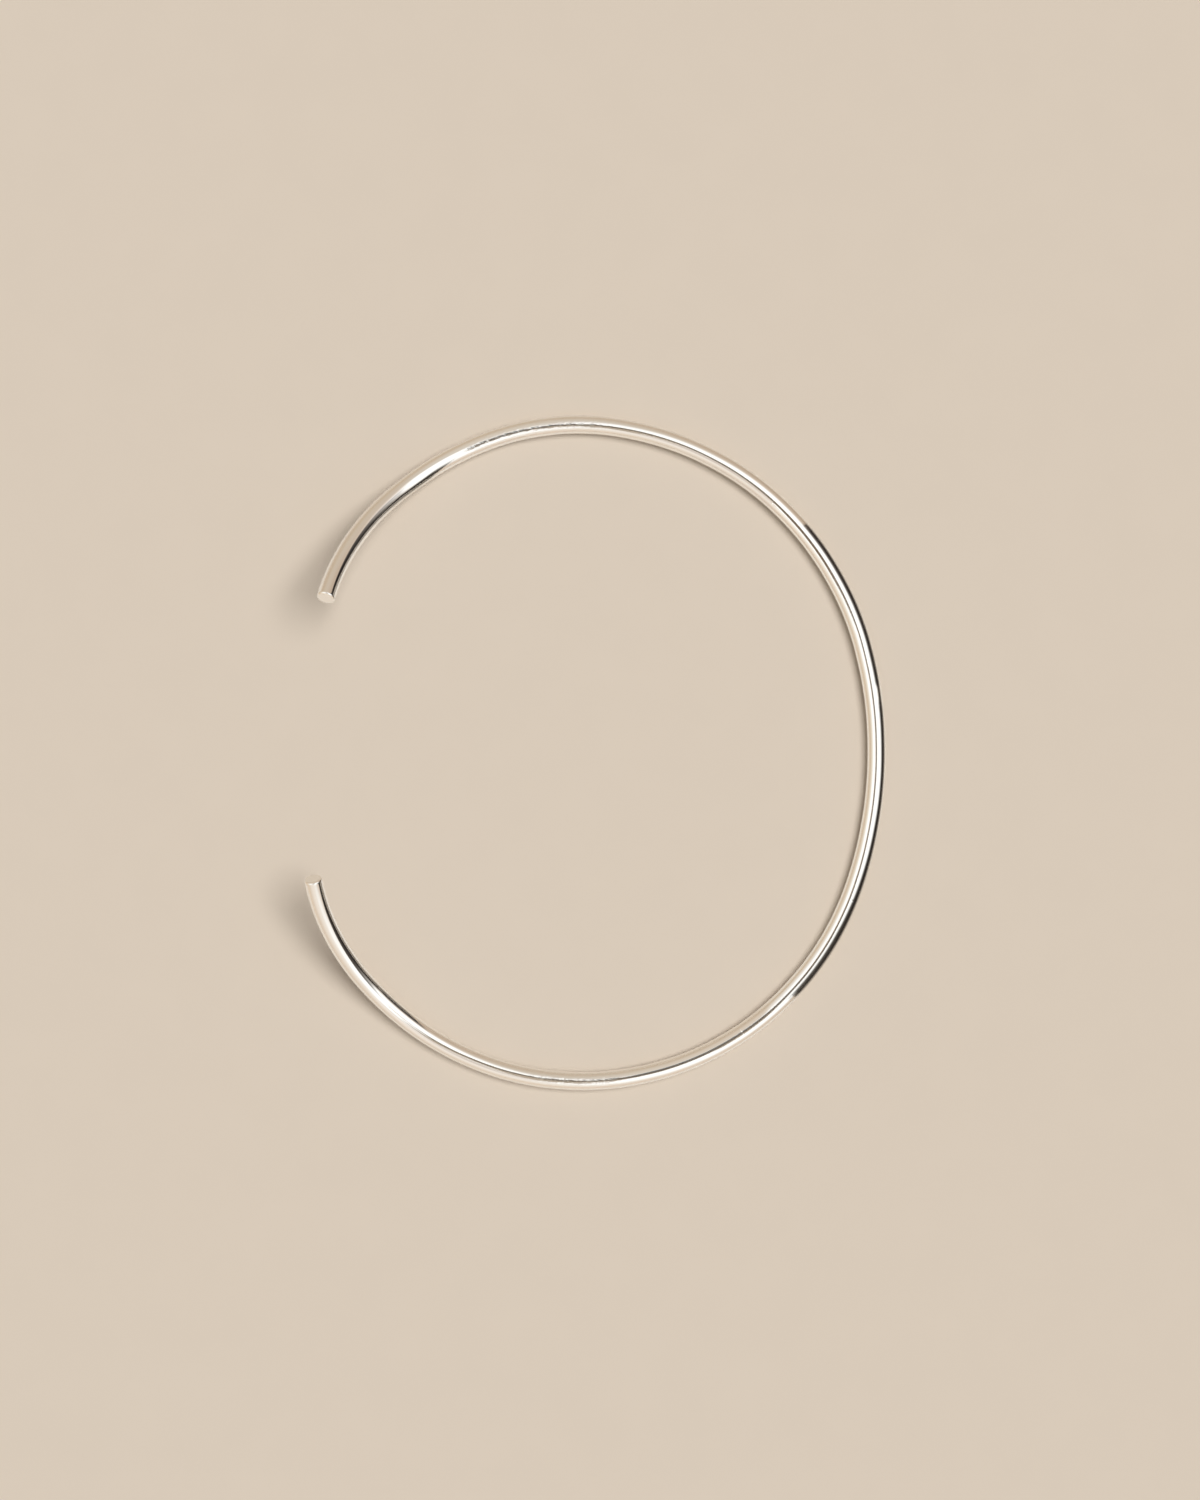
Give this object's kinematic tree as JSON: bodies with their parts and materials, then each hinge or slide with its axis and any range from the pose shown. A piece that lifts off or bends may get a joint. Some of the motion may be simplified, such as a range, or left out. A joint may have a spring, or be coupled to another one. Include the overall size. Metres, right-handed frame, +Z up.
{
  "type": "neck cuff",
  "caption": "Open oval neck cuff of round polished silver wire that lies flat on a surface, with both square-cut ends rising off it.",
  "frame": {"origin": "middle of the bounding box, on the surface that the cuff lies on", "axes": "+Z up out of the oval; -Y towards the closed throat; +Y towards the opening at the nape; +X towards the wearer's left end"},
  "size_m": [0.1474, 0.1262, 0.0223],
  "materials": {
    "polished_silver": "mirror-polished sterling silver with fine hairlines"
  },
  "bodies": {
    "root": {"collar_wire": "polished_silver"}
  },
  "joints": []
}
